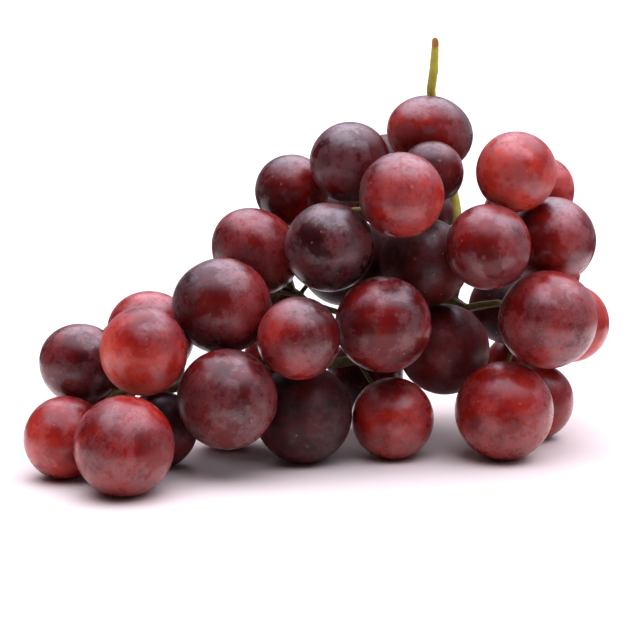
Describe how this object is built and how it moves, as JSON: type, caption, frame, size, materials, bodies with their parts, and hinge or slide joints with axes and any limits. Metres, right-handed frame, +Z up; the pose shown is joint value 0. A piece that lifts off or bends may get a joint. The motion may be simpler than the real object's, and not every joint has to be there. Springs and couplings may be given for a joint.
{
  "type": "bunch of grapes",
  "caption": "Bunch of large round red table grapes on a green branching stem, lying on its side on a table with the cut stalk standing up.",
  "frame": {"origin": "on the table under the bunch, at the centre of the bounding box's underside", "axes": "+X to the viewer's right along the bunch, from its tail to its shoulder, +Y to the back, +Z up off the table"},
  "size_m": [0.1582, 0.1314, 0.1113],
  "materials": {
    "skin_plum": "satin",
    "skin_mauve": "satin",
    "skin_red": "satin",
    "skin_pink": "satin",
    "stem": "matte"
  },
  "bodies": {
    "root": {"berry_01": "skin_red", "berry_02": "skin_plum", "berry_03": "skin_red", "berry_04": "skin_plum", "berry_05": "skin_red", "berry_06": "skin_pink", "berry_07": "skin_pink", "berry_08": "skin_mauve", "berry_09": "skin_mauve", "berry_10": "skin_plum", "berry_11": "skin_mauve", "berry_12": "skin_plum", "berry_13": "skin_plum", "berry_14": "skin_mauve", "berry_15": "skin_red", "berry_16": "skin_red", "berry_17": "skin_mauve", "berry_18": "skin_red", "berry_19": "skin_mauve", "berry_20": "skin_red", "berry_21": "skin_plum", "berry_22": "skin_plum", "berry_23": "skin_mauve", "berry_24": "skin_plum", "berry_25": "skin_red", "berry_26": "skin_mauve", "berry_27": "skin_mauve", "berry_28": "skin_red", "berry_29": "skin_red", "berry_30": "skin_plum", "berry_31": "skin_plum", "berry_32": "skin_plum", "berry_33": "skin_mauve", "berry_34": "skin_plum", "berry_35": "skin_red", "berry_36": "skin_plum", "berry_37": "skin_plum", "berry_38": "skin_mauve", "berry_39": "skin_red", "berry_40": "skin_plum", "berry_41": "skin_mauve", "berry_42": "skin_red", "berry_43": "skin_plum", "berry_44": "skin_mauve", "berry_45": "skin_red", "berry_46": "skin_mauve", "stem": "stem"}
  },
  "joints": []
}
